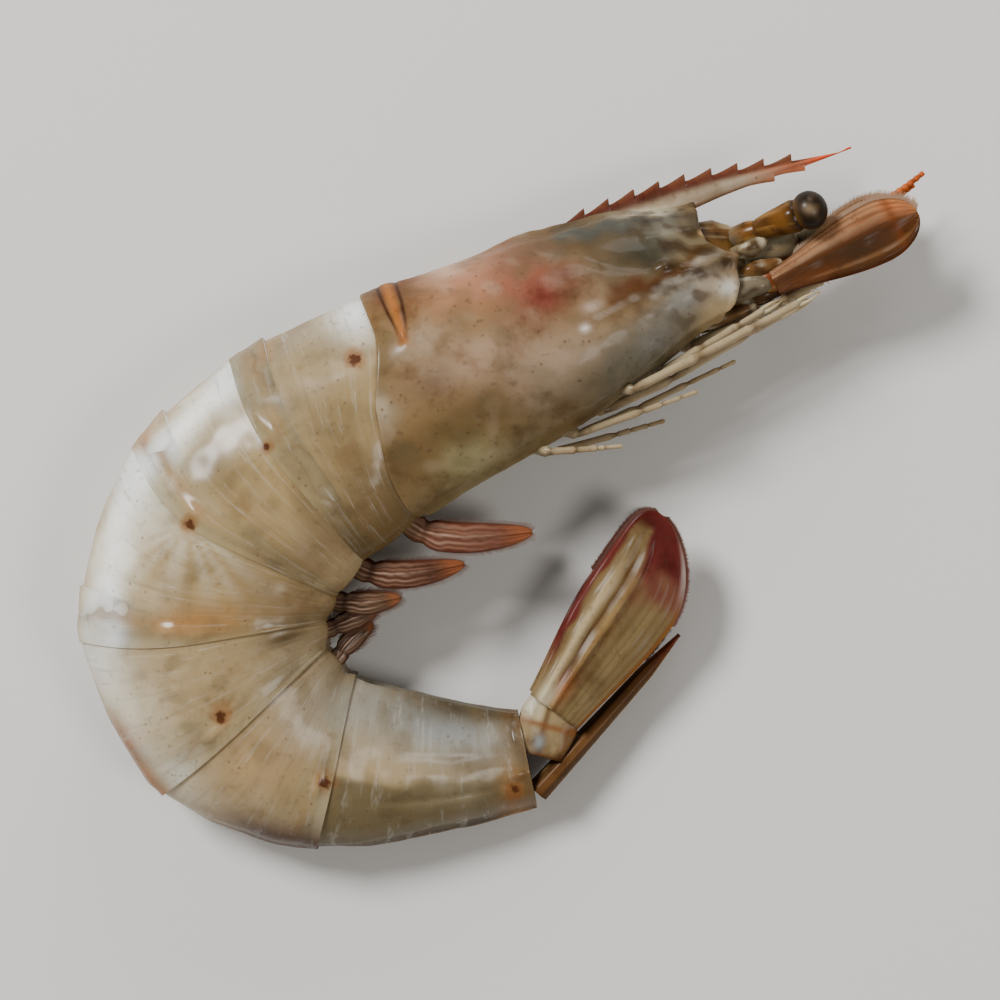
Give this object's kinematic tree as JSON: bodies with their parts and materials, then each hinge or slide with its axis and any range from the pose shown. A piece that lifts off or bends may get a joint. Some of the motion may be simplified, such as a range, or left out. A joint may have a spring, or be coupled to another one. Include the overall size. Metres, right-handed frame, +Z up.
{
  "type": "raw head-on white shrimp",
  "caption": "Raw whole white shrimp, head and shell on, curled and lying on its side, with toothed rostrum, eyes, legs, swimmerets and folded tail fan.",
  "frame": {"origin": "middle of the footprint, on the surface that the shrimp lies on", "axes": "+Z up out of the shrimp's right flank, +X towards the head's side of the curl, across the curl's open mouth, +Y towards the head end"},
  "size_m": [0.0768, 0.0644, 0.0166],
  "materials": {
    "ring": "wet translucent shell",
    "head": "wet translucent shell",
    "eye": "wet, glossy",
    "antenna": "wet, semi-gloss",
    "leg": "wet, semi-gloss",
    "swimmeret": "wet, semi-gloss",
    "tail": "wet translucent shell"
  },
  "bodies": {
    "root": {"head_shell": "head", "abdomen_ring_1": "ring", "abdomen_ring_2": "ring", "abdomen_ring_3": "ring", "abdomen_ring_4": "ring", "abdomen_ring_5": "ring", "abdomen_ring_6": "ring", "eye_right": "eye", "antennule_right": "antenna", "antenna_right": "antenna", "antennal_scale_right": "antenna", "eye_left": "eye", "antennule_left": "antenna", "antenna_left": "antenna", "antennal_scale_left": "antenna", "jaw_foot_right": "leg", "jaw_foot_left": "leg", "leg_1_right": "leg", "leg_1_left": "leg", "leg_2_right": "leg", "leg_2_left": "leg", "leg_3_right": "leg", "leg_3_left": "leg", "leg_4_right": "leg", "leg_4_left": "leg", "leg_5_right": "leg", "leg_5_left": "leg", "swimmeret_1_right": "swimmeret", "swimmeret_1_left": "swimmeret", "swimmeret_2_right": "swimmeret", "swimmeret_2_left": "swimmeret", "swimmeret_3_right": "swimmeret", "swimmeret_3_left": "swimmeret", "swimmeret_4_right": "swimmeret", "swimmeret_4_left": "swimmeret", "swimmeret_5_right": "swimmeret", "swimmeret_5_left": "swimmeret", "telson": "tail", "tail_base_right": "tail", "tail_base_left": "tail", "exopod_right": "tail", "exopod_left": "tail", "endopod_right": "tail", "endopod_left": "tail"}
  },
  "joints": []
}
